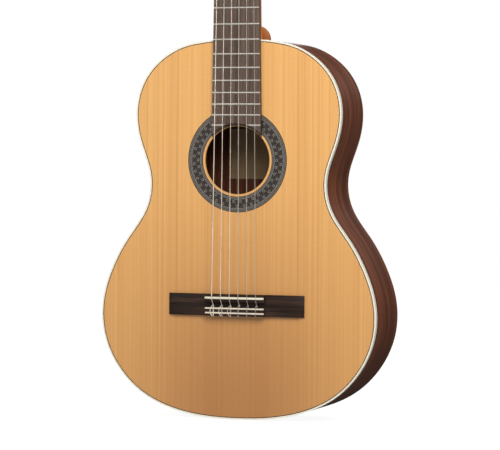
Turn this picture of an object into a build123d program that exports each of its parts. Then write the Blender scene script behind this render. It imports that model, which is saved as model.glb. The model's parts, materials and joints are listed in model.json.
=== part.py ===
from build123d import *
import os
from math import sin, cos, radians, pi, sqrt, hypot

os.makedirs("parts", exist_ok=True)

# ---------------------------------------------------------------- dimensions
# Frame: +Z runs up the neck, the soundboard faces -Y, +X is the treble side.
# The origin is the lowest point of the body, at the middle of its depth.

SCALE = 650.0                 # open string length
Z_SADDLE = 154.5              # saddle centre
Z_LINE = 156.0                # nominal end of the scale
Z_JOINT = 481.0               # neck joint, under the twelfth fret
Z_NUT = Z_LINE + SCALE        # front edge of the nut
Z_HEAD = Z_NUT + 5.5          # start of the head

Y_TOP = -50.0                 # front of the soundboard
Y_BACK_TAIL = 50.0            # back at the tail
Y_BACK_HEEL = 44.0            # back at the neck joint

TOP_T = 2.6                   # soundboard thickness
BACK_T = 2.8                  # back thickness
SIDE_T = 2.0                  # side thickness
BIND_TOP_H = 6.5              # depth of the pale binding on the sides
BIND_BACK_H = 5.0
PURF_W = 1.0                  # purfling line
LINING_W = 6.0
LINING_H = 14.0
GAP = 0.03                    # glue line between curved pieces

HOLE_Z, HOLE_R = 328.8, 43.2
ROSETTE_IN, ROSETTE_OUT, ROSETTE_T = 46.0, 66.1, 1.2

BRIDGE_W, BRIDGE_TOP_Z, BRIDGE_BOT_Z = 180.8, 159.2, 131.8
BRIDGE_WING_T = 4.2
BRIDGE_MID = 39.2             # half width of the middle of the bridge
SADDLE_PART_Z, SADDLE_PART_T = 149.5, 7.8
TIE_Z, TIE_T = 142.3, 9.0     # tie block
TROUGH_T = 3.4
TIE_HOLE_Y, TIE_HOLE_R = -54.6, 0.85
SADDLE_W, SADDLE_T = 78.0, 2.8

NUT_SPREAD, SADDLE_SPREAD = 43.0, 58.0       # outer string centres
GAUGE = {1: 0.71, 2: 0.82, 3: 1.02, 4: 0.74, 5: 0.88, 6: 1.09}
ACTION_LOW, ACTION_HIGH = 4.0, 3.0           # string height over fret 12
FRET_H, FRET_W, TANG_W, TANG_H = 1.0, 2.2, 0.6, 1.7
FB_NUT_T, FB_JOINT_T = 7.5, 5.7
FB_END_R, FB_END_TAPER = 43.5, 31.5          # fretboard end, a bevelled arc round the soundhole
FRET_END_R = 47.1

HEAD_ANGLE = 15.0
HEAD_T, VENEER_T = 20.0, 2.0
HEAD_HALF = 34.0
SLOT_IN, SLOT_OUT, SLOT_T0, SLOT_T1 = 9.0, 25.0, 28.0, 142.0
STATIONS = (52.0, 87.0, 122.0)               # roller axes along the head
ROLLER_R, ROLLER_BORE = 5.0, 5.06
AXIS_N = -10.0                # roller axes below the face of the head
PLATE_T, PLATE_HALF_W = 1.3, 6.5
PLATE_T0, PLATE_T1 = 27.0, 147.0
SCREW_T = (33.0, 67.5, 102.5, 137.5)
TEETH = 14
GEAR_R = 6.3                  # pitch radius
WORM_R, WORM_E = 2.5, 0.75    # twisted round bar: mean radius, eccentricity
WORM_PITCH = 2 * pi * GEAR_R / TEETH
WORM_X = HEAD_HALF + PLATE_T + WORM_R + WORM_E + 0.35
CENTRES = GEAR_R + WORM_R + 0.10             # gear axis to worm axis
WORM_N0, WORM_N1 = -14.5, -5.5
BUTTON_N0, BUTTON_N1 = -42.0, -22.5

# half of the body outline: x, z of the outer edge, tail to neck
OUTLINE = [(0.0, 0.0), (45.21, 2.28), (88.65, 11.36), (128.86, 30.32),
           (161.1, 62.19), (180.13, 102.21), (182.77, 147.05),
           (170.15, 189.69), (148.55, 228.91), (123.96, 266.28),
           (118.19, 309.1), (131.43, 351.37), (136.74, 395.99),
           (121.58, 437.77), (87.11, 467.6), (52.0, 478.4), (30.0, 480.9), (0.0, 481.0)]

half_edge = Edge.make_spline([Vector(x, z, 0) for x, z in OUTLINE],
                             tangents=[Vector(1, 0, 0), Vector(-1, 0, 0)])
SAMPLES = 44


def rim(d):
    """Points of the right half of the outline, d inside the outer edge."""
    pts = []
    for i in range(SAMPLES + 1):
        p = half_edge.position_at(i / SAMPLES)
        v = half_edge.tangent_at(i / SAMPLES)
        pts.append((p.X - v.Y * d, p.Y + v.X * d))
    pts[0] = (0.0, pts[0][1])
    pts[-1] = (0.0, pts[-1][1])
    return pts


def plan(plane, d_out, d_in=None):
    """Face in the plane of the soundboard: the whole outline at d_out, or the ring from d_out to d_in."""
    with BuildSketch(plane) as s:
        with BuildLine():
            a = Spline(*rim(d_out), tangents=[(1, 0), (-1, 0)])
            mirror(a, about=Plane.YZ)
        make_face()
        if d_in is not None:
            with BuildSketch(mode=Mode.SUBTRACT):
                with BuildLine():
                    b = Spline(*rim(d_in), tangents=[(1, 0), (-1, 0)])
                    mirror(b, about=Plane.YZ)
                make_face()
    return s.sketch


def at_y(y):
    """Plane parallel to the soundboard, whose normal points forward."""
    return Plane.XZ.offset(-y)


bn = Vector(0, Z_JOINT, Y_BACK_TAIL - Y_BACK_HEEL).normalized()


def back_plane(d):
    """Plane of the back, d inside it; its normal points backward."""
    return Plane(origin=Vector(0, Y_BACK_TAIL, 0) - bn * d, x_dir=(1, 0, 0), z_dir=bn)


def half_board(z):
    """Half width of the fretboard."""
    return 26.0 + 5.0 * (Z_NUT - z) / (Z_NUT - Z_JOINT)


def board_top(z):
    """Y of the top of the fretboard."""
    return Y_TOP - (FB_JOINT_T + (FB_NUT_T - FB_JOINT_T) * (z - Z_JOINT) / (Z_NUT - Z_JOINT))


def save(builder, name):
    builder.part.label = name
    export_step(builder.part, "parts/" + name + ".step")
    print(name, round(builder.part.volume), len(builder.part.solids()))


# ---------------------------------------------------------------- soundboard
with BuildPart() as soundboard:
    extrude(plan(at_y(Y_TOP), SIDE_T + PURF_W + GAP), amount=-TOP_T)
    with BuildSketch(at_y(Y_TOP)):
        with Locations((0, HOLE_Z)):
            Circle(HOLE_R)
    extrude(amount=-TOP_T, mode=Mode.SUBTRACT)
    with BuildSketch(at_y(Y_TOP)):
        with Locations((0, HOLE_Z)):
            Circle(ROSETTE_OUT)
            Circle(ROSETTE_IN, mode=Mode.SUBTRACT)
    extrude(amount=-ROSETTE_T, mode=Mode.SUBTRACT)
save(soundboard, "soundboard")

with BuildPart() as rosette:
    with BuildSketch(at_y(Y_TOP)):
        with Locations((0, HOLE_Z)):
            Circle(ROSETTE_OUT - GAP)
            Circle(ROSETTE_IN + GAP, mode=Mode.SUBTRACT)
    extrude(amount=-ROSETTE_T)
save(rosette, "rosette")

with BuildPart() as soundhole_patch:
    with BuildSketch(at_y(Y_TOP + TOP_T)):
        with Locations((0, HOLE_Z)):
            RectangleRounded(150, 112, 12)
            Circle(HOLE_R + 3, mode=Mode.SUBTRACT)
    extrude(amount=-2.0)
save(soundhole_patch, "soundhole_patch")

# fan struts and the two cross bars under the soundboard
FAN = [(-78, -14.0), (-52, -9.5), (-26, -4.8), (0, 0.0), (26, 4.8), (52, 9.5), (78, 14.0)]
with BuildPart() as soundboard_braces:
    for x, a in FAN:
        p = Plane(origin=(x, Y_TOP + TOP_T, 150), x_dir=(cos(radians(a)), 0, -sin(radians(a))), z_dir=(0, -1, 0))
        with BuildSketch(p):
            Rectangle(6, 190 - abs(x) * 0.55)
        extrude(amount=-4.5)
    for z, h in ((262.0, 15.0), (394.0, 16.0)):
        with BuildSketch(at_y(Y_TOP + TOP_T)):
            with Locations((0, z)):
                Rectangle(300, 8)
        extrude(amount=-h)
    extrude(plan(at_y(Y_TOP), SIDE_T + LINING_W + 2 * GAP + 0.1), amount=-30, mode=Mode.INTERSECT)
save(soundboard_braces, "soundboard_braces")

# ---------------------------------------------------------------- back
with BuildPart() as back:
    extrude(plan(at_y(30), SIDE_T + GAP), amount=-30)
    split(bisect_by=back_plane(0), keep=Keep.BOTTOM)
    split(bisect_by=back_plane(BACK_T), keep=Keep.TOP)
    with BuildSketch(at_y(20)):
        with Locations((0, 240)):
            Rectangle(6.0 + 2 * GAP, 600)
    extrude(amount=-50, mode=Mode.SUBTRACT)
save(back, "back")

with BuildPart() as back_strip:
    extrude(plan(at_y(30), SIDE_T + GAP), amount=-30)
    with BuildSketch(at_y(20)):
        with Locations((0, 240)):
            Rectangle(6.0, 600)
    extrude(amount=-50, mode=Mode.INTERSECT)
    split(bisect_by=back_plane(0), keep=Keep.BOTTOM)
    split(bisect_by=back_plane(BACK_T), keep=Keep.TOP)
save(back_strip, "back_strip")

with BuildPart() as back_braces:
    with BuildSketch(at_y(20)):
        with Locations((0, 108), (0, 250), (0, 402)):
            Rectangle(400, 9)
    extrude(amount=-40)
    split(bisect_by=back_plane(BACK_T), keep=Keep.BOTTOM)
    split(bisect_by=back_plane(BACK_T + 14.0), keep=Keep.TOP)
    extrude(plan(at_y(0), SIDE_T + LINING_W + 2 * GAP + 0.1), amount=-60, mode=Mode.INTERSECT)
save(back_braces, "back_braces")

with BuildPart() as label:
    with BuildSketch(at_y(20)):
        with Locations((0, 336.5)):
            Rectangle(84, 65)
    extrude(amount=-40)
    split(bisect_by=back_plane(BACK_T), keep=Keep.BOTTOM)
    split(bisect_by=back_plane(BACK_T + 0.4), keep=Keep.TOP)
save(label, "label")

# ---------------------------------------------------------------- sides
for name, sign in (("side_bass", -1), ("side_treble", 1)):
    with BuildPart() as side:
        extrude(plan(at_y(Y_TOP + BIND_TOP_H), 0.0, SIDE_T), amount=-110)
        split(bisect_by=back_plane(BIND_BACK_H), keep=Keep.BOTTOM)
        with BuildSketch(at_y(Y_TOP)):
            with Locations((sign * 155, 20), (sign * 158, 440)):
                Rectangle(300, 120)
            with Locations((sign * 155, 240)):
                Rectangle(300, 320)
        extrude(amount=-120, mode=Mode.INTERSECT)
    save(side, name)

with BuildPart() as tail_strip:
    extrude(plan(at_y(Y_TOP + BIND_TOP_H), 0.0, SIDE_T), amount=-110)
    split(bisect_by=back_plane(BIND_BACK_H), keep=Keep.BOTTOM)
    with BuildSketch(at_y(Y_TOP)):
        with Locations((0, 0)):
            Rectangle(10 - 2 * GAP, 40)
    extrude(amount=-120, mode=Mode.INTERSECT)
save(tail_strip, "tail_strip")

with BuildPart() as tail_block:
    extrude(plan(at_y(Y_TOP + TOP_T), SIDE_T + GAP), amount=-120)
    split(bisect_by=back_plane(BACK_T), keep=Keep.BOTTOM)
    with BuildSketch(at_y(Y_TOP)):
        with Locations((0, 5)):
            Rectangle(70, 34)
    extrude(amount=-120, mode=Mode.INTERSECT)
save(tail_block, "tail_block")

with BuildPart() as linings:
    extrude(plan(at_y(Y_TOP + TOP_T), SIDE_T + GAP, SIDE_T + GAP + LINING_W), amount=-LINING_H)
    with BuildSketch(at_y(Y_TOP)):
        with Locations((0, 0)):
            Rectangle(71, 70)
        with Locations((0, 480)):
            Rectangle(67, 100)
    extrude(amount=-60, mode=Mode.SUBTRACT)
with BuildPart() as linings_back:
    extrude(plan(at_y(10), SIDE_T + GAP, SIDE_T + GAP + LINING_W), amount=-60)
    split(bisect_by=back_plane(BACK_T), keep=Keep.BOTTOM)
    split(bisect_by=back_plane(BACK_T + LINING_H), keep=Keep.TOP)
    with BuildSketch(at_y(0)):
        with Locations((0, 0)):
            Rectangle(71, 70)
        with Locations((0, 480)):
            Rectangle(67, 100)
    extrude(amount=-80, mode=Mode.SUBTRACT)
with linings:
    add(linings_back.part)
save(linings, "linings")

# pale binding and dark line round the front edge, dark binding round the back
with BuildPart() as binding_top:
    extrude(plan(at_y(Y_TOP), 0.0, SIDE_T), amount=-(BIND_TOP_H - GAP))
    with BuildSketch(at_y(Y_TOP)):
        with Locations((0, 480)):
            Rectangle(16, 40)
    extrude(amount=-20, mode=Mode.SUBTRACT)
save(binding_top, "binding_top")

with BuildPart() as purfling_top:
    extrude(plan(at_y(Y_TOP), SIDE_T + GAP, SIDE_T + PURF_W), amount=-TOP_T)
    with BuildSketch(at_y(Y_TOP)):
        with Locations((0, 480)):
            Rectangle(16, 40)
    extrude(amount=-20, mode=Mode.SUBTRACT)
save(purfling_top, "purfling_top")

with BuildPart() as binding_back:
    extrude(plan(at_y(20), 0.0, SIDE_T), amount=-40)
    split(bisect_by=back_plane(0), keep=Keep.BOTTOM)
    split(bisect_by=back_plane(BIND_BACK_H - GAP), keep=Keep.TOP)
save(binding_back, "binding_back")

# ---------------------------------------------------------------- bridge
with BuildPart() as bridge:
    # wings, thinning to their ends
    with BuildSketch(Plane.XY.offset(BRIDGE_BOT_Z)):
        with BuildLine():
            Polyline((-BRIDGE_W / 2, Y_TOP), (BRIDGE_W / 2, Y_TOP), (BRIDGE_W / 2, Y_TOP - 1.6),
                     (BRIDGE_W / 2 - 9, Y_TOP - BRIDGE_WING_T), (-BRIDGE_W / 2 + 9, Y_TOP - BRIDGE_WING_T),
                     (-BRIDGE_W / 2, Y_TOP - 1.6), close=True)
        make_face()
    extrude(amount=BRIDGE_TOP_Z - BRIDGE_BOT_Z)
    # middle: saddle part, trough and tie block
    with BuildSketch(Plane.YZ.offset(-BRIDGE_MID)):
        with BuildLine():
            Polyline((Y_TOP - 1, BRIDGE_BOT_Z), (Y_TOP - 1, BRIDGE_TOP_Z), (Y_TOP - SADDLE_PART_T + 1.5, BRIDGE_TOP_Z),
                     (Y_TOP - SADDLE_PART_T, BRIDGE_TOP_Z - 1.5), (Y_TOP - SADDLE_PART_T, SADDLE_PART_Z),
                     (Y_TOP - TROUGH_T - 1.2, SADDLE_PART_Z - 2.2), (Y_TOP - TROUGH_T, TIE_Z), (Y_TOP - TIE_T, TIE_Z),
                     (Y_TOP - TIE_T, BRIDGE_BOT_Z), close=True)
        make_face()
    extrude(amount=2 * BRIDGE_MID)
    # trough cut down into the wings' level
    with BuildSketch(Plane.YZ.offset(-BRIDGE_MID + 0.8)):
        with BuildLine():
            Polyline((Y_TOP - 12, SADDLE_PART_Z), (Y_TOP - SADDLE_PART_T, SADDLE_PART_Z),
                     (Y_TOP - TROUGH_T - 1.2, SADDLE_PART_Z - 2.2), (Y_TOP - TROUGH_T, TIE_Z), (Y_TOP - 12, TIE_Z), close=True)
        make_face()
    extrude(amount=2 * BRIDGE_MID - 1.6, mode=Mode.SUBTRACT)
    # saddle slot
    with BuildSketch(at_y(Y_TOP - 3.2)):
        with Locations((0, Z_SADDLE)):
            Rectangle(SADDLE_W, SADDLE_T)
    extrude(amount=10, mode=Mode.SUBTRACT)
    # string holes through the tie block
    for i in range(1, 7):
        sx = SADDLE_SPREAD / 2 - SADDLE_SPREAD / 5 * (i - 1)
        with BuildSketch(Plane.XY.offset(BRIDGE_BOT_Z - 1)):
            with Locations((sx, TIE_HOLE_Y)):
                Circle(TIE_HOLE_R)
        extrude(amount=TIE_Z - BRIDGE_BOT_Z + 2, mode=Mode.SUBTRACT)
    # rabbets for the two white strips
    with BuildSketch(Plane.YZ.offset(-BRIDGE_MID)):
        with Locations((Y_TOP - TIE_T + 0.6, TIE_Z - 0.9), (Y_TOP - TIE_T + 0.6, 135.6)):
            Rectangle(1.2, 1.8)
    extrude(amount=2 * BRIDGE_MID, mode=Mode.SUBTRACT)
save(bridge, "bridge")

with BuildPart() as bridge_inlays:
    with BuildSketch(Plane.YZ.offset(-BRIDGE_MID)):
        with Locations((Y_TOP - TIE_T + 0.6, TIE_Z - 0.9), (Y_TOP - TIE_T + 0.6, 135.6)):
            Rectangle(1.2, 1.8)
    extrude(amount=2 * BRIDGE_MID)
save(bridge_inlays, "bridge_inlays")

# ---------------------------------------------------------------- string lines
NUT_BOTTOM = -59.2            # Y of the string's underside at the nut


def string_pts(i):
    """Centre line of a string: roller, nut, saddle, tie block."""
    r = GAUGE[i] / 2
    k = (3.5 - i) / 2.5                                 # +1 for the first string, -1 for the sixth
    nx, sx = k * NUT_SPREAD / 2, k * SADDLE_SPREAD / 2
    action = ACTION_LOW + (ACTION_HIGH - ACTION_LOW) * (1 + k) / 2
    y12 = board_top(Z_JOINT) - FRET_H - action - r
    yn = NUT_BOTTOM - r
    slope = (y12 - yn) / (Z_JOINT - Z_NUT)

    def on(z):
        f = (Z_NUT - z) / (Z_NUT - Z_SADDLE)
        return Vector(nx + (sx - nx) * f, yn + slope * (z - Z_NUT), z)

    station = STATIONS[min(i, 7 - i) - 1]
    rx = {1: 21.0, 2: 17.0, 3: 13.5}[min(i, 7 - i)] * (1 if k > 0 else -1)
    end = HEAD.from_local_coords(Vector(rx, station, AXIS_N + ROLLER_R + r + 0.1))
    return [end, on(Z_HEAD + 0.25), on(Z_SADDLE - SADDLE_T / 2 - 0.05),
            Vector(sx, TIE_HOLE_Y, TIE_Z + 0.4), Vector(sx, TIE_HOLE_Y, BRIDGE_BOT_Z - 1.5)]


HEAD = Plane(origin=(0, Y_TOP, Z_HEAD), x_dir=(1, 0, 0),
             z_dir=(0, -cos(radians(HEAD_ANGLE)), sin(radians(HEAD_ANGLE))))

for i in range(1, 7):
    pts = string_pts(i)
    with BuildPart() as string:
        for a, b in zip(pts[:-1], pts[1:]):
            with BuildSketch(Plane(origin=a, z_dir=(b - a))):
                Circle(GAUGE[i] / 2)
            extrude(amount=(b - a).length)
        for p in pts[1:-1]:
            with Locations(p):
                Sphere(GAUGE[i] / 2)
    save(string, f"string_{i}")

with BuildPart() as saddle:
    lo = string_pts(6)[2].Y + GAUGE[6] / 2
    hi = string_pts(1)[2].Y + GAUGE[1] / 2
    sl = (hi - lo) / SADDLE_SPREAD
    w = SADDLE_W / 2 - GAP
    with BuildSketch(Plane.XY.offset(Z_SADDLE - SADDLE_T / 2 + GAP)):
        with BuildLine():
            Polyline((-w, Y_TOP - 3.2), (w, Y_TOP - 3.2), (w, hi + sl * (w - 29) + 1.0), (w - 2.5, hi + sl * (w - 31.5)),
                     (29, hi), (-29, lo), (-w + 2.5, lo - sl * (w - 31.5)), (-w, lo - sl * (w - 29) + 1.0), close=True)
        make_face()
    extrude(amount=SADDLE_T - 2 * GAP)
save(saddle, "saddle")

with BuildPart() as nut:
    with BuildSketch(Plane.XY.offset(Z_NUT)):
        with BuildLine():
            Polyline((-26, Y_TOP), (26, Y_TOP), (26, NUT_BOTTOM + 0.5), (25, NUT_BOTTOM - 0.45),
                     (-25, NUT_BOTTOM - 0.45), (-26, NUT_BOTTOM + 0.5), close=True)
        make_face()
    extrude(amount=Z_HEAD - Z_NUT)
    for i in range(1, 7):
        r = GAUGE[i] / 2 + 0.08
        x = (3.5 - i) / 2.5 * NUT_SPREAD / 2
        with BuildSketch(Plane.XY.offset(Z_NUT - 1)):
            with Locations((x, NUT_BOTTOM - GAUGE[i] / 2)):
                Circle(r)
            with Locations((x, NUT_BOTTOM - GAUGE[i] / 2 - 1)):
                Rectangle(2 * r, 2)
        extrude(amount=Z_HEAD - Z_NUT + 2, mode=Mode.SUBTRACT)
save(nut, "nut")

# ---------------------------------------------------------------- fretboard and frets
surf = Vector(0, board_top(Z_NUT) - board_top(Z_JOINT), Z_NUT - Z_JOINT).normalized()


def fret_plane(z):
    """Plane across the fretboard: x along its top towards the nut, y away from the wood, z along +X."""
    return Plane(origin=(0, board_top(z), z), x_dir=surf, z_dir=(1, 0, 0))


FRETS = [(n, Z_LINE + SCALE * 2 ** (-n / 12)) for n in range(1, 20)]
assert fret_plane(500).y_dir.Y < 0

with BuildPart() as fretboard:
    zc = HOLE_Z + 20
    with BuildSketch(at_y(Y_TOP)):
        with BuildLine():
            Polyline((-half_board(zc), zc), (half_board(zc), zc), (26, Z_NUT), (-26, Z_NUT), close=True)
        make_face()
    extrude(amount=12)
    with BuildSketch(at_y(Y_TOP)):
        with Locations((0, HOLE_Z)):
            Circle(FB_END_R)
    extrude(amount=13, taper=-FB_END_TAPER, mode=Mode.SUBTRACT)
    split(bisect_by=Plane(origin=(0, board_top(Z_NUT), Z_NUT), x_dir=(1, 0, 0), z_dir=fret_plane(600).y_dir),
          keep=Keep.BOTTOM)
    for n, z in FRETS:
        with BuildSketch(fret_plane(z)):
            with Locations((0, -TANG_H / 2 + 0.5)):
                Rectangle(TANG_W, TANG_H + 1.0)
        extrude(amount=40, both=True, mode=Mode.SUBTRACT)
save(fretboard, "fretboard")

with BuildPart() as frets:
    for n, z in FRETS:
        with BuildSketch(fret_plane(z)):
            with BuildLine():
                Line((-TANG_W / 2, -TANG_H), (TANG_W / 2, -TANG_H))
                Line((TANG_W / 2, -TANG_H), (TANG_W / 2, 0.0))
                Line((TANG_W / 2, 0.0), (FRET_W / 2, 0.0))
                ThreePointArc((FRET_W / 2, 0.0), (0.0, FRET_H), (-FRET_W / 2, 0.0))
                Line((-FRET_W / 2, 0.0), (-TANG_W / 2, 0.0))
                Line((-TANG_W / 2, 0.0), (-TANG_W / 2, -TANG_H))
            make_face()
        extrude(amount=half_board(z) - 0.25, both=True)
    # the last fret stops short of the arc cut in the end of the board
    with BuildSketch(at_y(Y_TOP + 2)):
        with Locations((0, HOLE_Z)):
            Circle(FRET_END_R)
    extrude(amount=20, mode=Mode.SUBTRACT)
save(frets, "frets")

# ---------------------------------------------------------------- neck and heel
GLUE_Y = -32.0                # glue line between the shaft and the stacked heel


def d_section(z, half, depth):
    """Back-of-neck section: flat under the fretboard, round behind."""
    with BuildSketch(Plane.XY.offset(z)) as s:
        with BuildLine():
            Line((-half, Y_TOP), (half, Y_TOP))
            EllipticalCenterArc((0, Y_TOP + 2.0), half, depth - 2.0, 0, arc_size=180)
            Line((half, Y_TOP), (half, Y_TOP + 2.0))
            Line((-half, Y_TOP), (-half, Y_TOP + 2.0))
        make_face()
    return s.sketch


def heel_section(y, half, nose):
    """Section of the heel parallel to the soundboard: straight inside the body, rounded outside."""
    with BuildSketch(at_y(y)) as s:
        with BuildLine():
            Line((-half, Z_JOINT - 14), (half, Z_JOINT - 14))
            Line((half, Z_JOINT - 14), (half, Z_JOINT + nose * 0.12))
            Spline((half, Z_JOINT + nose * 0.12), (half * 0.62, Z_JOINT + nose * 0.78), (0, Z_JOINT + nose),
                   (-half * 0.62, Z_JOINT + nose * 0.78), (-half, Z_JOINT + nose * 0.12), tangents=[(0, 1), (0, -1)])
            Line((-half, Z_JOINT + nose * 0.12), (-half, Z_JOINT - 14))
        make_face()
    return s.sketch


CAP_T = 3.0
HEEL = [(-50.0, 30.8, 78.0), (-40.0, 29.0, 52.0), (-30.0, 26.0, 37.0), (-15.0, 22.0, 28.0), (5.0, 18.0, 23.0),
        (25.0, 14.8, 20.5), (46.0, 12.5, 19.0)]

with BuildPart() as heel_form:
    for y, half, nose in HEEL:
        add(heel_section(y, half, nose))
    loft()
    split(bisect_by=Plane.XY.offset(Z_JOINT + 0.05), keep=Keep.TOP)

with BuildPart() as inner_block:
    # the part of the neck and heel inside the body, with the web that passes between the sides
    with BuildSketch(at_y(Y_TOP + TOP_T + 0.05)):
        with Locations((0, 458.5)):
            Rectangle(66, 39.2)
        with Locations((0, 475.5)):
            Rectangle(15.8, 11.2)
    extrude(amount=-110)
    with BuildSketch(at_y(Y_TOP)):
        with Locations((0, 479.6)):
            Rectangle(15.8, 3.0)
    extrude(amount=-10)
    split(bisect_by=back_plane(BIND_BACK_H + 0.05), keep=Keep.BOTTOM)

with BuildPart() as neck:
    add(d_section(Z_JOINT + 0.05, 30.9, 17.2))
    add(d_section(640.0, 28.4, 16.2))
    add(d_section(784.0, 26.2, 15.2))
    loft()
    add(d_section(784.0, 26.2, 15.2))
    add(d_section(Z_HEAD, 26.0, 17.5))
    loft()
    add(heel_form.part)
    add(inner_block.part)
    split(bisect_by=at_y(GLUE_Y), keep=Keep.TOP)
save(neck, "neck")

with BuildPart() as heel:
    add(heel_form.part)
    split(bisect_by=back_plane(CAP_T), keep=Keep.BOTTOM)
    add(inner_block.part)
    split(bisect_by=at_y(GLUE_Y), keep=Keep.BOTTOM)
save(heel, "heel")

with BuildPart() as heel_cap:
    add(heel_form.part)
    split(bisect_by=back_plane(0), keep=Keep.BOTTOM)
    split(bisect_by=back_plane(CAP_T), keep=Keep.TOP)
save(heel_cap, "heel_cap")

# ---------------------------------------------------------------- head


def head_face(n, start=0.0):
    """Outline of the head on a plane n above its face, with the two string slots."""
    with BuildSketch(HEAD.offset(n)) as s:
        with BuildLine():
            Line((0, start - 8), (26.0, start - 8))
            Line((26.0, start - 8), (26.0, 2.0))
            Spline((26.0, 2.0), (28.2, 12.0), (HEAD_HALF, 24.0), tangents=[(0, 1), (0, 1)])
            Line((HEAD_HALF, 24.0), (HEAD_HALF, 152.0))
            Spline((HEAD_HALF, 152.0), (30.0, 164.0), (20.0, 171.0), tangents=[(0, 1), (-1, 0.25)])
            Spline((20.0, 171.0), (11.0, 177.0), (0, 181.0), tangents=[(-1, 0.25), (-1, 0)])
            Line((0, 181.0), (0, start - 8))
        make_face()
        mirror(about=Plane.YZ)
        with Locations(((SLOT_IN + SLOT_OUT) / 2, (SLOT_T0 + SLOT_T1) / 2), (-(SLOT_IN + SLOT_OUT) / 2, (SLOT_T0 + SLOT_T1) / 2)):
            RectangleRounded(SLOT_OUT - SLOT_IN, SLOT_T1 - SLOT_T0, 7.9, mode=Mode.SUBTRACT)
    return s.sketch


def across(x, t, n, sign=1):
    """Plane at a point of the head whose normal runs outward along X; local x along the head, local y out of its face on +X."""
    return Plane(origin=HEAD.from_local_coords(Vector(x, t, n)), x_dir=HEAD.y_dir, z_dir=(sign, 0, 0))


def upright(x, t, n):
    """Plane at a point of the head, parallel to its face."""
    return Plane(origin=HEAD.from_local_coords(Vector(x, t, n)), x_dir=(1, 0, 0), z_dir=HEAD.z_dir)


with BuildPart() as headstock:
    extrude(head_face(-VENEER_T), amount=-(HEAD_T - VENEER_T))
    split(bisect_by=Plane.XY.offset(Z_HEAD), keep=Keep.TOP)
    for sign in (1, -1):
        for t in STATIONS:
            with BuildSketch(across(sign * 5.0, t, AXIS_N, sign)):
                Circle(ROLLER_BORE)
            extrude(amount=40, mode=Mode.SUBTRACT)
        for t in SCREW_T:
            with BuildSketch(across(sign * (HEAD_HALF - 7.0), t, AXIS_N, sign)):
                Circle(1.1)
            extrude(amount=10, mode=Mode.SUBTRACT)
save(headstock, "headstock")

with BuildPart() as head_veneer:
    extrude(head_face(0.0), amount=-(VENEER_T - 0.0))
    split(bisect_by=Plane.XY.offset(Z_HEAD), keep=Keep.TOP)
save(head_veneer, "head_veneer")

# ---------------------------------------------------------------- tuning machines
for name, sign in (("tuner_plate_bass", -1), ("tuner_plate_treble", 1)):
    with BuildPart() as plate:
        with BuildSketch(across(sign * (HEAD_HALF + GAP), (PLATE_T0 + PLATE_T1) / 2, AXIS_N, sign)):
            RectangleRounded(PLATE_T1 - PLATE_T0, 2 * PLATE_HALF_W, 4.0)
        extrude(amount=PLATE_T - GAP)
        for t in STATIONS:
            # two lugs that carry each worm shaft
            for n in (WORM_N0 - 1.8, WORM_N1 + 0.3):
                with BuildSketch(upright(sign * WORM_X, t - CENTRES, n)):
                    Circle(3.6)
                    with Locations((-sign * (WORM_X - HEAD_HALF - 0.5) / 2, 0)):
                        Rectangle(WORM_X - HEAD_HALF - 0.5, 7.2)
                extrude(amount=1.5)
        for t in STATIONS:
            with BuildSketch(upright(sign * WORM_X, t - CENTRES, WORM_N0 - 4)):
                Circle(1.55)
            extrude(amount=20, mode=Mode.SUBTRACT)
            with BuildSketch(across(sign * (HEAD_HALF - 1), t, AXIS_N, sign)):
                Circle(3.05)
            extrude(amount=8, mode=Mode.SUBTRACT)
        for t in SCREW_T:
            with BuildSketch(across(sign * (HEAD_HALF - 1), t, AXIS_N, sign)):
                Circle(1.2)
            extrude(amount=8, mode=Mode.SUBTRACT)
    save(plate, name)

with BuildPart() as plate_screws:
    for sign in (1, -1):
        for t in SCREW_T:
            with BuildSketch(across(sign * (HEAD_HALF + PLATE_T), t, AXIS_N, sign)):
                Circle(2.4)
            extrude(amount=1.3, taper=25)
            with BuildSketch(across(sign * (HEAD_HALF + PLATE_T), t, AXIS_N, sign)):
                Circle(1.1 - GAP)
            extrude(amount=-7.5)
            with BuildSketch(across(sign * (HEAD_HALF + PLATE_T + 0.7), t, AXIS_N, sign)):
                Rectangle(0.6, 6)
            extrude(amount=2, mode=Mode.SUBTRACT)
save(plate_screws, "plate_screws")

GEAR_X0 = WORM_X - 1.3        # inner face of the teeth
GEAR_X1 = WORM_X + 1.3

WORM_L = WORM_N1 - WORM_N0
with BuildSketch() as disc:
    with Locations(Rot(0, 0, 90.0 - 360.0 * (AXIS_N - WORM_N0) / WORM_PITCH)):
        with Locations((WORM_E, 0)):
            Circle(WORM_R)
WORM_THREAD = Solid.extrude_linear_with_rotation(disc.face().outer_wire(), Vector(0, 0, 0), Vector(0, 0, WORM_L),
                                                 360.0 * WORM_L / WORM_PITCH)

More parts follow.
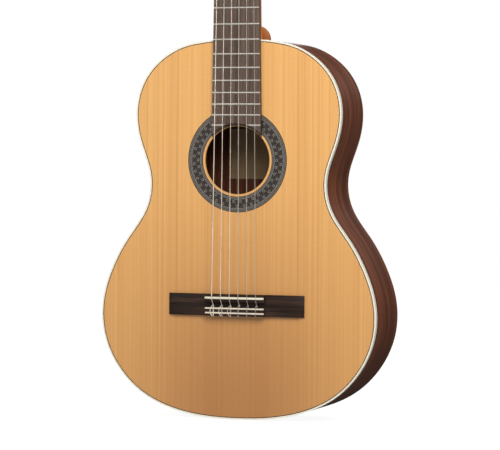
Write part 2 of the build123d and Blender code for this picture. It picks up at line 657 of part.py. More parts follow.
for i in range(1, 7):
    sign = 1 if i <= 3 else -1
    t = STATIONS[min(i, 7 - i) - 1]
    gr = GAUGE[i] / 2
    rx = {1: 21.0, 2: 17.0, 3: 13.5}[min(i, 7 - i)]

    with BuildPart() as roller:
        with BuildSketch(across(sign * 5.25, t, AXIS_N, sign)):
            Circle(ROLLER_R)
        extrude(amount=HEAD_HALF - 0.2 - 5.25)
        with BuildSketch(across(sign * (HEAD_HALF - 0.2), t, AXIS_N, sign)):
            Circle(3.0)
        extrude(amount=GEAR_X0 - 2.0 - HEAD_HALF + 0.2)
        with BuildSketch(across(sign * (GEAR_X0 - 2.0), t, AXIS_N, sign)):
            Circle(2.0)
        extrude(amount=4.6)
        with BuildSketch(across(sign * (GEAR_X1 + 0.1), t, AXIS_N, sign)):
            Circle(0.9)
        extrude(amount=-5.0, mode=Mode.SUBTRACT)
        # cross hole for the string's end
        with BuildSketch(upright(sign * (rx - 2.0), t, AXIS_N - 6)):
            Circle(0.9)
        extrude(amount=12, mode=Mode.SUBTRACT)
    # turns of string wound on the roller, beside the point where the string arrives
    turns = 2.5 if i == 6 else 4
    with BuildPart() as winding:
        with BuildSketch(across(sign * (rx + gr + 0.15), t, AXIS_N, sign)):
            Circle(ROLLER_R + 2 * gr)
            Circle(ROLLER_R, mode=Mode.SUBTRACT)
        extrude(amount=turns * 2 * gr)
    roller.part.label = "roller"
    winding.part.label = "winding"
    both = Compound(label=f"roller_{i}", children=[roller.part.solids()[0], winding.part.solids()[0]])
    export_step(both, f"parts/roller_{i}.step")
    print(f"roller_{i}", round(both.volume), len(both.solids()))

    with BuildPart() as gear:
        with BuildSketch(across(sign * GEAR_X0, t, AXIS_N, sign)):
            Circle(GEAR_R - 1.15)
            for k in range(TEETH):
                a = 180 / TEETH + k * 360 / TEETH
                with Locations(Rot(0, 0, a)):
                    with BuildLine():
                        Polyline((GEAR_R - 1.8, -0.62), (GEAR_R + 0.65, -0.26), (GEAR_R + 0.65, 0.26), (GEAR_R - 1.8, 0.62), close=True)
                    make_face()
            Circle(2.0, mode=Mode.SUBTRACT)
        extrude(amount=2.6)
        with BuildSketch(across(sign * GEAR_X0, t, AXIS_N, sign)):
            Circle(4.4)
            Circle(2.0, mode=Mode.SUBTRACT)
        extrude(amount=-2.0)
    with BuildPart() as gear_screw:
        with BuildSketch(across(sign * GEAR_X1, t, AXIS_N, sign)):
            Circle(2.7)
        extrude(amount=1.3)
        with BuildSketch(across(sign * GEAR_X1, t, AXIS_N, sign)):
            Circle(0.9)
        extrude(amount=-4.5)
        with BuildSketch(across(sign * (GEAR_X1 + 0.7), t, AXIS_N, sign)):
            Rectangle(0.6, 6)
        extrude(amount=2, mode=Mode.SUBTRACT)
    both = Compound(label=f"gear_{i}", children=[gear.part.solids()[0], gear_screw.part.solids()[0]])
    export_step(both, f"parts/gear_{i}.step")
    print(f"gear_{i}", round(both.volume), len(both.solids()))

    with BuildPart() as worm:
        # single-start thread: a round bar, set off its axis, twisted along it;
        # at the gear's height the crest points along the head, at the gear
        base = upright(sign * WORM_X, t - CENTRES, WORM_N0)
        add(base.location * WORM_THREAD)
        with BuildSketch(upright(sign * WORM_X, t - CENTRES, WORM_N1)):
            Circle(1.5)
        extrude(amount=2.4)
        with BuildSketch(base):
            Circle(1.5)
        extrude(amount=-(WORM_N0 - BUTTON_N1 + 8.0))
    save(worm, f"worm_{i}")

    with BuildPart() as button:
        b0 = upright(sign * WORM_X, t - CENTRES, BUTTON_N0)
        length = BUTTON_N1 - BUTTON_N0
        for h, rx_, ry_ in ((0.0, 5.4, 3.0), (2.2, 7.6, 4.3), (length * 0.5, 7.8, 4.4), (length * 0.82, 4.6, 3.4),
                            (length, 3.6, 3.6)):
            with BuildSketch(b0.offset(h)):
                Ellipse(ry_, rx_)
        loft()
        with BuildSketch(b0.offset(length - 8.0)):
            Circle(1.5)
        extrude(amount=9, mode=Mode.SUBTRACT)
    save(button, f"button_{i}")
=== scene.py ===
import json
import math

import bpy
import bmesh
from mathutils import Matrix, Vector

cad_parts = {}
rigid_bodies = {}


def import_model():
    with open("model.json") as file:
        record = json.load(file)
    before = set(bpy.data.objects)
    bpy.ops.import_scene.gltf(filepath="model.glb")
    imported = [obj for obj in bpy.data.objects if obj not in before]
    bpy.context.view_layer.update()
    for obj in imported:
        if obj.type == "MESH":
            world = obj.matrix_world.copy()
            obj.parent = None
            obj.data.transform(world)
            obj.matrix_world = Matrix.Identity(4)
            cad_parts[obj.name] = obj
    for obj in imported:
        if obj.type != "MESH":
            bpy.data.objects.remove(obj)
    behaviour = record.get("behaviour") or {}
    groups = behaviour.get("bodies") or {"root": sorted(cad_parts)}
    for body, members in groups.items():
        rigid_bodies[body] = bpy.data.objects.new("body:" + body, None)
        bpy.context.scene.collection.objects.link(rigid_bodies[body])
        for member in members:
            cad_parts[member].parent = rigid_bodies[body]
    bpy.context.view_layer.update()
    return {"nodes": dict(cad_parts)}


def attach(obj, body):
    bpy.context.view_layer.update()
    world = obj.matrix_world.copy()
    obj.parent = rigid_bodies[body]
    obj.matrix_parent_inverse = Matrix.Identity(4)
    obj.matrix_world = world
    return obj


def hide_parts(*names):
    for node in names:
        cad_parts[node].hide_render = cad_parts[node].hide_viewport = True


for o in list(bpy.data.objects):
    bpy.data.objects.remove(o)

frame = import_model()
nodes = frame["nodes"]
MM = 0.001
Y_TOP = -50.0
HOLE_Z = 328.8
Z_HEAD = 811.5
S15, C15 = math.sin(math.radians(15)), math.cos(math.radians(15))


def head(x, t, n):
    """A point of the head: x across, t along it, n out of its face, in mm."""
    return Vector((x, Y_TOP + t * S15 - n * C15, Z_HEAD + t * C15 + n * S15))


# ------------------------------------------------------------------ materials
def lin(r, g, b):
    def f(c):
        c /= 255.0
        return c / 12.92 if c <= 0.04045 else ((c + 0.055) / 1.055) ** 2.4
    return (f(r), f(g), f(b), 1.0)


class Mat:
    """A Principled material with short helpers for its procedural nodes."""

    def __init__(self, name, rough=0.4, metallic=0.0, coat=0.0, coat_rough=0.1, ior=1.5, spec=0.5):
        self.m = bpy.data.materials.new(name)
        self.m.use_nodes = True
        self.t = self.m.node_tree
        self.t.nodes.clear()
        self.out = self.t.nodes.new("ShaderNodeOutputMaterial")
        self.b = self.t.nodes.new("ShaderNodeBsdfPrincipled")
        self.t.links.new(self.b.outputs[0], self.out.inputs[0])
        self.b.inputs["Roughness"].default_value = rough
        self.b.inputs["Metallic"].default_value = metallic
        self.b.inputs["Coat Weight"].default_value = coat
        self.b.inputs["Coat Roughness"].default_value = coat_rough
        self.b.inputs["IOR"].default_value = ior
        self.b.inputs["Specular IOR Level"].default_value = spec

    def n(self, kind, **inputs):
        node = self.t.nodes.new(kind)
        for k, v in inputs.items():
            if hasattr(node, k):
                setattr(node, k, v)
        return node

    def link(self, a, b):
        self.t.links.new(a, b)

    def coords(self, mirror_x=False):
        tc = self.n("ShaderNodeTexCoord")
        if not mirror_x:
            return tc.outputs["Object"]
        sep = self.n("ShaderNodeSeparateXYZ")
        self.link(tc.outputs["Object"], sep.inputs[0])
        a = self.math("ABSOLUTE", sep.outputs[0])
        com = self.n("ShaderNodeCombineXYZ")
        self.link(a, com.inputs[0])
        self.link(sep.outputs[1], com.inputs[1])
        self.link(sep.outputs[2], com.inputs[2])
        return com.outputs[0]

    def math(self, op, a, b=None, c=None):
        node = self.n("ShaderNodeMath", operation=op)
        for i, v in enumerate((a, b, c)):
            if v is None:
                continue
            if isinstance(v, (int, float)):
                node.inputs[i].default_value = v
            else:
                self.link(v, node.inputs[i])
        return node.outputs[0]

    def scaled(self, vec, s, rot=(0, 0, 0), loc=(0, 0, 0)):
        mp = self.n("ShaderNodeMapping")
        mp.inputs["Scale"].default_value = s
        mp.inputs["Rotation"].default_value = rot
        mp.inputs["Location"].default_value = loc
        self.link(vec, mp.inputs["Vector"])
        return mp.outputs[0]

    def noise(self, vec, scale=1.0, detail=4.0, rough=0.55, distort=0.0):
        node = self.n("ShaderNodeTexNoise")
        node.inputs["Scale"].default_value = scale
        node.inputs["Detail"].default_value = detail
        node.inputs["Roughness"].default_value = rough
        node.inputs["Distortion"].default_value = distort
        self.link(vec, node.inputs["Vector"])
        return node.outputs["Fac"]

    def ramp(self, fac, stops, interp="LINEAR"):
        node = self.n("ShaderNodeValToRGB")
        node.color_ramp.interpolation = interp
        els = node.color_ramp.elements
        while len(els) < len(stops):
            els.new(0.5)
        for e, (p, c) in zip(els, stops):
            e.position = p
            e.color = c if len(c) == 4 else (*c, 1.0)
        self.link(fac, node.inputs[0])
        return node.outputs["Color"]

    def mix(self, fac, a, b, blend="MIX"):
        node = self.n("ShaderNodeMix", data_type="RGBA", blend_type=blend)
        for sock, v in ((node.inputs[0], fac), (node.inputs[6], a), (node.inputs[7], b)):
            if isinstance(v, (int, float)):
                sock.default_value = v
            elif isinstance(v, tuple):
                sock.default_value = v
            else:
                self.link(v, sock)
        return node.outputs[2]

    def sep(self, vec):
        node = self.n("ShaderNodeSeparateXYZ")
        self.link(vec, node.inputs[0])
        return node.outputs

    def bump(self, height, strength=0.2, distance=0.0002):
        node = self.n("ShaderNodeBump")
        node.inputs["Strength"].default_value = strength
        node.inputs["Distance"].default_value = distance
        self.link(height, node.inputs["Height"])
        self.link(node.outputs[0], self.b.inputs["Normal"])

    def color(self, c):
        self.link(c, self.b.inputs["Base Color"])

    def rough_map(self, fac, lo, hi):
        node = self.n("ShaderNodeMapRange")
        node.inputs["To Min"].default_value = lo
        node.inputs["To Max"].default_value = hi
        self.link(fac, node.inputs["Value"])
        self.link(node.outputs[0], self.b.inputs["Roughness"])


BLACK, WHITE = (0.0, 0.0, 0.0, 1.0), (1.0, 1.0, 1.0, 1.0)


def spruce():
    m = Mat("spruce_top", rough=0.34, coat=0.30, coat_rough=0.12)
    v = m.coords(mirror_x=True)
    x, y, z = m.sep(v)[:3]
    # growth lines a little over 1 mm apart, each of its own strength, wandering slightly along the board
    drift = m.noise(m.scaled(v, (6, 1, 1.1)), 1.0, 2.0)
    vx = m.n("ShaderNodeVectorMath", operation="ADD")
    com = m.n("ShaderNodeCombineXYZ")
    m.link(m.math("MULTIPLY", drift, 0.006), com.inputs[0])
    m.link(v, vx.inputs[0])
    m.link(com.outputs[0], vx.inputs[1])
    w = vx.outputs[0]
    fine = m.noise(m.scaled(w, (820, 8, 1.3), loc=(2, 0, 5)), 1.0, 2.0, 0.5)
    lines = m.ramp(fine, [(0.34, WHITE), (0.52, BLACK)])
    mid = m.noise(m.scaled(w, (300, 6, 1.0), loc=(9, 0, 2)), 1.0, 3.0, 0.6)
    broad = m.noise(m.scaled(w, (48, 4, 0.7), loc=(3, 0, 0)), 1.0, 2.0, 0.5)
    fibre = m.noise(m.scaled(v, (1600, 60, 30)), 1.0, 4.0, 0.7)
    silk = m.noise(m.scaled(v, (60, 20, 260), loc=(1, 3, 0)), 1.0, 3.0, 0.6)
    c = m.ramp(mid, [(0.28, lin(224, 163, 93)), (0.50, lin(237, 177, 102)), (0.72, lin(245, 190, 116))])
    c = m.mix(0.30, c, m.ramp(broad, [(0.32, lin(228, 166, 94)), (0.68, lin(243, 186, 111))]))
    c = m.mix(m.math("MULTIPLY", lines, 0.24), c, lin(186, 120, 60))
    c = m.mix(m.math("MULTIPLY", fibre, 0.12), c, lin(250, 208, 148))
    c = m.mix(m.math("MULTIPLY", m.ramp(silk, [(0.5, BLACK), (0.75, WHITE)]), 0.07), c, lin(255, 222, 168))
    # darker, redder towards the lower middle of the top: partly the wood's own tone, partly painted shade and a painted
    # dark reflection standing in for the light falling off there
    lower = m.n("ShaderNodeMapRange", interpolation_type="SMOOTHSTEP")
    lower.inputs["From Min"].default_value = 0.36
    lower.inputs["From Max"].default_value = 0.0
    m.link(z, lower.inputs["Value"])
    middle = m.n("ShaderNodeMapRange", interpolation_type="SMOOTHSTEP")
    middle.inputs["From Min"].default_value = 0.17
    middle.inputs["From Max"].default_value = 0.02
    m.link(x, middle.inputs["Value"])
    wood_tone_and_painted_shade = m.math("MULTIPLY", lower.outputs[0], m.math("MULTIPLY_ADD", middle.outputs[0], 0.55, 0.35))
    c = m.mix(m.math("MULTIPLY", wood_tone_and_painted_shade, 0.80), c, lin(162, 100, 54))
    # a few darker streaks
    dark = m.noise(m.scaled(w, (190, 6, 1.4), loc=(7, 0, 4)), 1.0, 2.0, 0.4)
    dark = m.ramp(dark, [(0.66, BLACK), (0.78, WHITE)])
    c = m.mix(m.math("MULTIPLY", dark, 0.16), c, lin(160, 100, 52))
    m.color(c)
    m.rough_map(fibre, 0.28, 0.42)
    m.bump(m.math("ADD", m.math("MULTIPLY", lines, 0.5), fibre), 0.08, 0.0001)
    return m.m


def rosewood(name, dark, mid, light, across="y", rough=0.3, coat=0.4, scale=1.0, line=(24, 14, 10)):
    m = Mat(name, rough=rough, coat=coat, coat_rough=0.10)
    v = m.coords()
    s = {"y": (3.5, 150, 3.5), "x": (150, 20, 4.0), "z": (4, 10, 150)}[across]
    s = tuple(k * scale for k in s)
    f = m.noise(m.scaled(v, s), 1.0, 6.0, 0.62, 0.6)
    g = m.noise(m.scaled(v, tuple(k * 3.1 for k in s), loc=(5, 2, 1)), 1.0, 4.0, 0.7)
    pore = m.noise(m.scaled(v, tuple(k * 9.0 if k > 30 else k * 14.0 for k in s)), 1.0, 2.0, 0.5)
    c = m.ramp(f, [(0.28, lin(*dark)), (0.5, lin(*mid)), (0.72, lin(*light))])
    c = m.mix(m.math("MULTIPLY", m.ramp(g, [(0.52, BLACK), (0.62, WHITE)]), 0.55), c, lin(*line))
    c = m.mix(m.math("MULTIPLY", m.ramp(pore, [(0.60, BLACK), (0.68, WHITE)]), 0.45), c, lin(*line))
    m.color(c)
    m.rough_map(pore, rough - 0.05, rough + 0.14)
    m.bump(pore, 0.14, 0.0001)
    return m.m


def neck_wood():
    m = Mat("cedar_neck_wood", rough=0.40, coat=0.12, coat_rough=0.16)
    v = m.coords()
    f = m.noise(m.scaled(v, (120, 120, 5)), 1.0, 5.0, 0.6, 0.4)
    pore = m.noise(m.scaled(v, (1400, 1400, 60)), 1.0, 2.0, 0.5)
    c = m.ramp(f, [(0.3, lin(206, 110, 40)), (0.5, lin(228, 130, 54)), (0.7, lin(242, 152, 74))])
    c = m.mix(m.math("MULTIPLY", m.ramp(pore, [(0.58, BLACK), (0.66, WHITE)]), 0.4), c, lin(120, 58, 26))
    m.color(c)
    m.rough_map(pore, 0.28, 0.46)
    m.bump(pore, 0.15, 0.0001)
    return m.m


def raw_spruce(name="raw_spruce"):
    m = Mat(name, rough=0.62)
    v = m.coords()
    f = m.noise(m.scaled(v, (240, 240, 9)), 1.0, 4.0, 0.6)
    c = m.ramp(f, [(0.3, lin(196, 150, 96)), (0.6, lin(224, 184, 130))])
    m.color(c)
    m.bump(f, 0.2, 0.0002)
    return m.m


def ivory(name, a, b, rough=0.3, coat=0.3):
    m = Mat(name, rough=rough, coat=coat, coat_rough=0.08)
    v = m.coords()
    f = m.noise(m.scaled(v, (90, 90, 60)), 1.0, 4.0, 0.55)
    g = m.noise(m.scaled(v, (700, 700, 160)), 1.0, 3.0, 0.6)
    c = m.mix(m.math("MULTIPLY", g, 0.35), m.ramp(f, [(0.32, lin(*a)), (0.68, lin(*b))]), lin(*[int(k * 0.93) for k in a]))
    m.color(c)
    m.rough_map(g, rough - 0.06, rough + 0.10)
    m.bump(g, 0.06, 0.0001)
    m.b.inputs["Subsurface Weight"].default_value = 0.05
    return m.m


def metal(name, a, b, rough=0.22, brushed=(900, 900, 40)):
    m = Mat(name, rough=rough, metallic=1.0)
    v = m.coords()
    f = m.noise(m.scaled(v, brushed), 1.0, 4.0, 0.6)
    g = m.noise(m.scaled(v, (60, 60, 60)), 1.0, 5.0, 0.6)
    m.color(m.ramp(g, [(0.35, lin(*a)), (0.65, lin(*b))]))
    m.rough_map(f, max(0.05, rough - 0.08), rough + 0.14)
    m.bump(f, 0.08, 0.00005)
    return m.m


def plain(name, a, b, rough=0.5, scale=220.0, coat=0.0):
    m = Mat(name, rough=rough, coat=coat, coat_rough=0.1)
    v = m.coords()
    f = m.noise(m.scaled(v, (scale, scale, scale)), 1.0, 4.0, 0.6)
    m.color(m.ramp(f, [(0.35, lin(*a)), (0.65, lin(*b))]))
    m.rough_map(f, max(0.05, rough - 0.08), min(1.0, rough + 0.08))
    m.bump(f, 0.08, 0.0001)
    return m.m


def nylon():
    m = Mat("nylon_string", rough=0.16, ior=1.53, coat=0.2, coat_rough=0.05)
    v = m.coords()
    f = m.noise(m.scaled(v, (900, 900, 25)), 1.0, 3.0, 0.5)
    m.color(m.ramp(f, [(0.3, lin(214, 206, 190)), (0.7, lin(240, 236, 226))]))
    m.b.inputs["Transmission Weight"].default_value = 0.55
    m.b.inputs["Subsurface Weight"].default_value = 0.10
    m.rough_map(f, 0.12, 0.22)
    return m.m


def wound():
    """Silvered wire wound on a core: fine ridges across the string."""
    m = Mat("wound_string", rough=0.34, metallic=0.35)
    v = m.coords()
    z = m.sep(v)[2]
    ridge = m.math("SINE", m.math("MULTIPLY", z, 2 * math.pi / 0.00034))
    f = m.noise(m.scaled(v, (300, 300, 40)), 1.0, 4.0, 0.6)
    c = m.ramp(f, [(0.3, lin(232, 222, 204)), (0.7, lin(250, 244, 232))])
    c = m.mix(m.math("MULTIPLY", m.math("MULTIPLY_ADD", ridge, 0.5, 0.5), 0.18), c, lin(150, 136, 112))
    m.color(c)
    m.rough_map(f, 0.2, 0.36)
    m.bump(ridge, 0.6, 0.00006)
    return m.m


def paper():
    m = Mat("label_paper", rough=0.8)
    v = m.coords()
    f = m.noise(m.scaled(v, (1200, 1200, 1200)), 1.0, 5.0, 0.7)
    g = m.noise(m.scaled(v, (24, 24, 24)), 1.0, 3.0, 0.5)
    c = m.ramp(g, [(0.3, lin(160, 132, 98)), (0.7, lin(182, 154, 116))])
    m.color(m.mix(m.math("MULTIPLY", f, 0.2), c, lin(176, 152, 112)))
    m.bump(f, 0.3, 0.0001)
    return m.m


def pearl():
    m = Mat("pearl_button", rough=0.18, coat=0.6, coat_rough=0.05)
    v = m.coords()
    f = m.noise(m.scaled(v, (160, 160, 90)), 1.0, 3.0, 0.5, 2.6)
    c = m.ramp(f, [(0.30, lin(214, 208, 196)), (0.46, lin(240, 236, 226)), (0.6, lin(226, 220, 214)), (0.74, lin(246, 243, 236))])
    m.color(c)
    m.b.inputs["Subsurface Weight"].default_value = 0.08
    m.rough_map(f, 0.12, 0.26)
    return m.m


M = {
    "spruce": spruce(),
    "side": rosewood("rosewood_sides", (58, 26, 13), (112, 60, 36), (150, 86, 54), "y", rough=0.38, coat=0.12, scale=0.8),
    "back": rosewood("rosewood_back", (58, 26, 13), (108, 58, 35), (146, 84, 52), "x", rough=0.36, coat=0.2, scale=0.9),
    "board": rosewood("ebony_fretboard", (62, 48, 40), (98, 80, 70), (124, 105, 94), "x", rough=0.5, coat=0.0, scale=1.6, line=(52, 40, 34)),
    "bridge": rosewood("bridge_rosewood", (26, 16, 11), (50, 34, 26), (82, 60, 48), "z", rough=0.42, coat=0.0, scale=1.4, line=(10, 7, 5)),
    "veneer": rosewood("head_rosewood", (40, 22, 16), (74, 44, 32), (100, 62, 44), "x", scale=1.1),
    "cap": rosewood("heel_cap_rosewood", (40, 22, 16), (74, 44, 32), (100, 62, 44), "x", scale=1.6),
    "neck": neck_wood(),
    "raw": raw_spruce(),
    "binding": ivory("ivory_binding", (250, 240, 218), (255, 250, 236)),
    "bone": ivory("bone", (232, 222, 196), (246, 240, 222)),
    "inlay": ivory("white_strip", (240, 222, 198), (250, 236, 216)),
    "purfling": plain("dark_purfling", (40, 24, 18), (62, 38, 28), 0.35, 300.0, 0.3),
    "fret": metal("nickel_fret", (236, 232, 224), (250, 247, 240), 0.42, (40, 900, 900)),
    "gold": metal("gold_plate", (206, 160, 78), (232, 190, 108), 0.2),
    "screw": metal("brass_screw", (190, 148, 76), (214, 176, 100), 0.26),
    "brass": metal("gear_brass", (176, 132, 62), (206, 164, 88), 0.28),
    "steel": metal("worm_steel", (190, 186, 176), (214, 210, 200), 0.22),
    "roller": ivory("roller_bone", (230, 222, 202), (246, 242, 230)),
    "pearl": pearl(),
    "paper": paper(),
    "nylon": nylon(),
    "wound": wound(),
    "ros_grey": plain("rosette_grey_lines", (54, 49, 46), (80, 73, 69), 0.35, 420.0, 0.3),
    "ros_dark": plain("rosette_dark_wood", (34, 26, 24), (52, 40, 34), 0.35, 380.0, 0.3),
    "ros_light": plain("rosette_light_wood", (150, 146, 138), (180, 176, 166), 0.35, 420.0, 0.3),
    "ros_blue": plain("rosette_blue_grey", (84, 96, 106), (112, 124, 134), 0.35, 420.0, 0.3),
    "ros_brown": plain("rosette_brown", (88, 80, 78), (112, 102, 98), 0.35, 420.0, 0.3),
}

for key, level in (("bridge", 0.2), ("board", 0.3), ("neck", 0.3), ("side", 0.4)):
    next(n for n in M[key].node_tree.nodes if n.type == "BSDF_PRINCIPLED").inputs["Specular IOR Level"].default_value = level

PLAN = {
    "soundboard": "spruce", "soundhole_patch": "raw", "soundboard_braces": "raw", "back": "back", "back_strip": "purfling",
    "back_braces": "raw", "label": "paper", "side_bass": "side", "side_treble": "side", "tail_strip": "purfling",
    "tail_block": "raw", "linings": "raw", "binding_top": "binding", "purfling_top": "purfling", "binding_back": "side",
    "bridge": "bridge", "bridge_inlays": "inlay", "saddle": "bone", "nut": "bone", "fretboard": "board", "frets": "fret",
    "neck": "neck", "heel": "neck", "heel_cap": "cap", "headstock": "neck", "head_veneer": "veneer",
    "tuner_plate_bass": "gold", "tuner_plate_treble": "gold", "plate_screws": "screw", "rosette": "ros_dark",
}
for i in range(1, 7):
    PLAN[f"string_{i}"] = "nylon" if i <= 3 else "wound"
    PLAN[f"roller_{i}"] = "roller"
    PLAN[f"gear_{i}"] = "brass"
    PLAN[f"worm_{i}"] = "steel"
    PLAN[f"button_{i}"] = "pearl"
for node, key in PLAN.items():
    mesh = nodes[node].data
    mesh.materials.clear()
    mesh.materials.append(M[key])
    for p in mesh.polygons:
        p.material_index = 0


# ------------------------------------------------------------------ mesh helpers
def new_object(name, bm, mats, smooth=None):
    mesh = bpy.data.meshes.new(name)
    bm.to_mesh(mesh)
    bm.free()
    for k in mats:
        mesh.materials.append(M[k])
    o = bpy.data.objects.new(name, mesh)
    bpy.context.scene.collection.objects.link(o)
    if smooth is not None:
        for p in mesh.polygons:
            p.use_smooth = True
        if smooth < 180:
            mesh.set_sharp_from_angle(angle=math.radians(smooth))
    return o


def tube(bm, pts, radius, sides=12, material=0, closed_ends=True):
    """A round tube along points (mm), its rings turned as little as possible; radius may be a list."""
    pts = [Vector(p) for p in pts]
    n = len(pts)
    rad = radius if isinstance(radius, (list, tuple)) else [radius] * n
    tan = []
    for i in range(n):
        a, b = pts[max(0, i - 1)], pts[min(n - 1, i + 1)]
        tan.append((b - a).normalized())
    ref = Vector((1, 0, 0)) if abs(tan[0].x) < 0.9 else Vector((0, 1, 0))
    u = (ref - tan[0] * ref.dot(tan[0])).normalized()
    rings = []
    for i in range(n):
        if i:
            u = (u - tan[i] * u.dot(tan[i])).normalized()
        w = tan[i].cross(u)
        rings.append([bm.verts.new((pts[i] + (u * math.cos(2 * math.pi * k / sides) + w * math.sin(2 * math.pi * k / sides)) * rad[i]) * MM)
                      for k in range(sides)])
    for a, b in zip(rings[:-1], rings[1:]):
        for k in range(sides):
            f = bm.faces.new((a[k], a[(k + 1) % sides], b[(k + 1) % sides], b[k]))
            f.material_index = material
    if closed_ends:
        f = bm.faces.new(list(reversed(rings[0])))
        f.material_index = material
        f = bm.faces.new(rings[-1])
        f.material_index = material


def smooth_path(pts, steps=6):
    """Points along a Catmull-Rom curve through pts."""
    pts = [Vector(p) for p in pts]
    out = []
    for i in range(len(pts) - 1):
        p0 = pts[i - 1] if i else pts[0] * 2 - pts[1]
        p1, p2 = pts[i], pts[i + 1]
        p3 = pts[i + 2] if i + 2 < len(pts) else pts[-1] * 2 - pts[-2]
        for k in range(steps):
            t = k / steps
            out.append(0.5 * ((2 * p1) + (p2 - p0) * t + (2 * p0 - 5 * p1 + 4 * p2 - p3) * t * t + (3 * p1 - p0 - 3 * p2 + p3) * t ** 3))
    out.append(pts[-1])
    return out


def flat_ring(bm, cx, cz, r0, r1, y0, y1, seg, material, start=0.0):
    """A closed flat ring or disc facing -Y, between y0 (front) and y1, mm."""
    def ring(r, y):
        return [bm.verts.new(Vector((cx + r * math.cos(start + 2 * math.pi * k / seg), y, cz + r * math.sin(start + 2 * math.pi * k / seg))) * MM)
                for k in range(seg)]
    of, ob = ring(r1, y0), ring(r1, y1)
    faces = []
    if r0 > 0:
        nf, nb = ring(r0, y0), ring(r0, y1)
    for k in range(seg):
        j = (k + 1) % seg
        faces.append(bm.faces.new((of[k], ob[k], ob[j], of[j])))
        if r0 > 0:
            faces.append(bm.faces.new((nf[k], of[k], of[j], nf[j])))
            faces.append(bm.faces.new((nb[k], nb[j], ob[j], ob[k])))
            faces.append(bm.faces.new((nf[k], nf[j], nb[j], nb[k])))
    if r0 <= 0:
        faces.append(bm.faces.new(of))
        faces.append(bm.faces.new(list(reversed(ob))))
    for f in faces:
        f.material_index = material


# ------------------------------------------------------------------ rosette
ROS = ["ros_dark", "ros_grey", "ros_light", "ros_blue", "ros_brown", "spruce"]
bm = bmesh.new()
yb = Y_TOP + 1.17
bands = [(46.04, 46.55, 0), (46.55, 47.5, 1), (47.5, 47.75, 2), (47.75, 49.2, 1), (49.2, 49.6, 2), (49.6, 61.0, 0), (61.0, 61.4, 2),
         (61.4, 62.6, 1), (62.6, 62.85, 2), (62.85, 64.4, 1), (64.4, 64.7, 2), (64.7, 66.06, 0)]
for r0, r1, k in bands:
    flat_ring(bm, 0, HOLE_Z, r0, r1, Y_TOP - 0.0, yb, 192, k)
COUNT = 38
for row, radius in ((0, 52.35), (1, 58.25)):
    for k in range(COUNT):
        a = 2 * math.pi * (k + 0.5 * row) / COUNT
        cx, cz = radius * math.cos(a), HOLE_Z + radius * math.sin(a)
        flat_ring(bm, cx, cz, 1.2, 1.62, Y_TOP - 0.02, Y_TOP + 0.2, 24, 2)
for k in range(COUNT):
    # small diamonds between the rings
    for radius, off, r, mk in ((55.3, 0.25, 0.6, 3), (55.3, 0.75, 0.6, 4), (50.35, 0.5, 0.42, 3), (60.2, 0.0, 0.45, 4)):
        a = 2 * math.pi * (k + off) / COUNT
        flat_ring(bm, radius * math.cos(a), HOLE_Z + radius * math.sin(a), 0, r, Y_TOP - 0.02, Y_TOP + 0.2, 4, mk, start=a)
bmesh.ops.recalc_face_normals(bm, faces=bm.faces)
ros = new_object("rosette_mosaic", bm, ROS)
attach(ros, "root")
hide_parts("rosette")

# ------------------------------------------------------------------ strings
GAUGE = {1: 0.71, 2: 0.82, 3: 1.02, 4: 0.74, 5: 0.88, 6: 1.09}
Z_NUT, Z_SADDLE, Z_JOINT = 806.0, 154.5, 481.0
STATIONS = (52.0, 87.0, 122.0)
TIE_Z, TIE_T, BOT_Z, HOLE_Y = 142.3, 9.0, 131.8, -54.6


def string_line(i):
    """Centre line of a string: roller, nut, saddle, tie block, in mm."""
    r = GAUGE[i] / 2
    k = (3.5 - i) / 2.5
    nx, sx = k * 21.5, k * 29.0
    action = 4.0 - (1 + k) / 2
    y12 = Y_TOP - 5.7 - 1.0 - action - r
    yn = -59.2 - r
    slope = (y12 - yn) / (Z_JOINT - Z_NUT)

    def on(z):
        f = (Z_NUT - z) / (Z_NUT - Z_SADDLE)
        return Vector((nx + (sx - nx) * f, yn + slope * (z - Z_NUT), z))

    j = min(i, 7 - i)
    rx = {1: 21.0, 2: 17.0, 3: 13.5}[j] * (1 if k > 0 else -1)
    return [head(rx, STATIONS[j - 1], -10.0 + 5.0 + r + 0.1), on(Z_HEAD + 0.25), on(Z_SADDLE - 1.45),
            Vector((sx, HOLE_Y, TIE_Z + 0.4)), Vector((sx, HOLE_Y, BOT_Z - 1.5))], sx, r


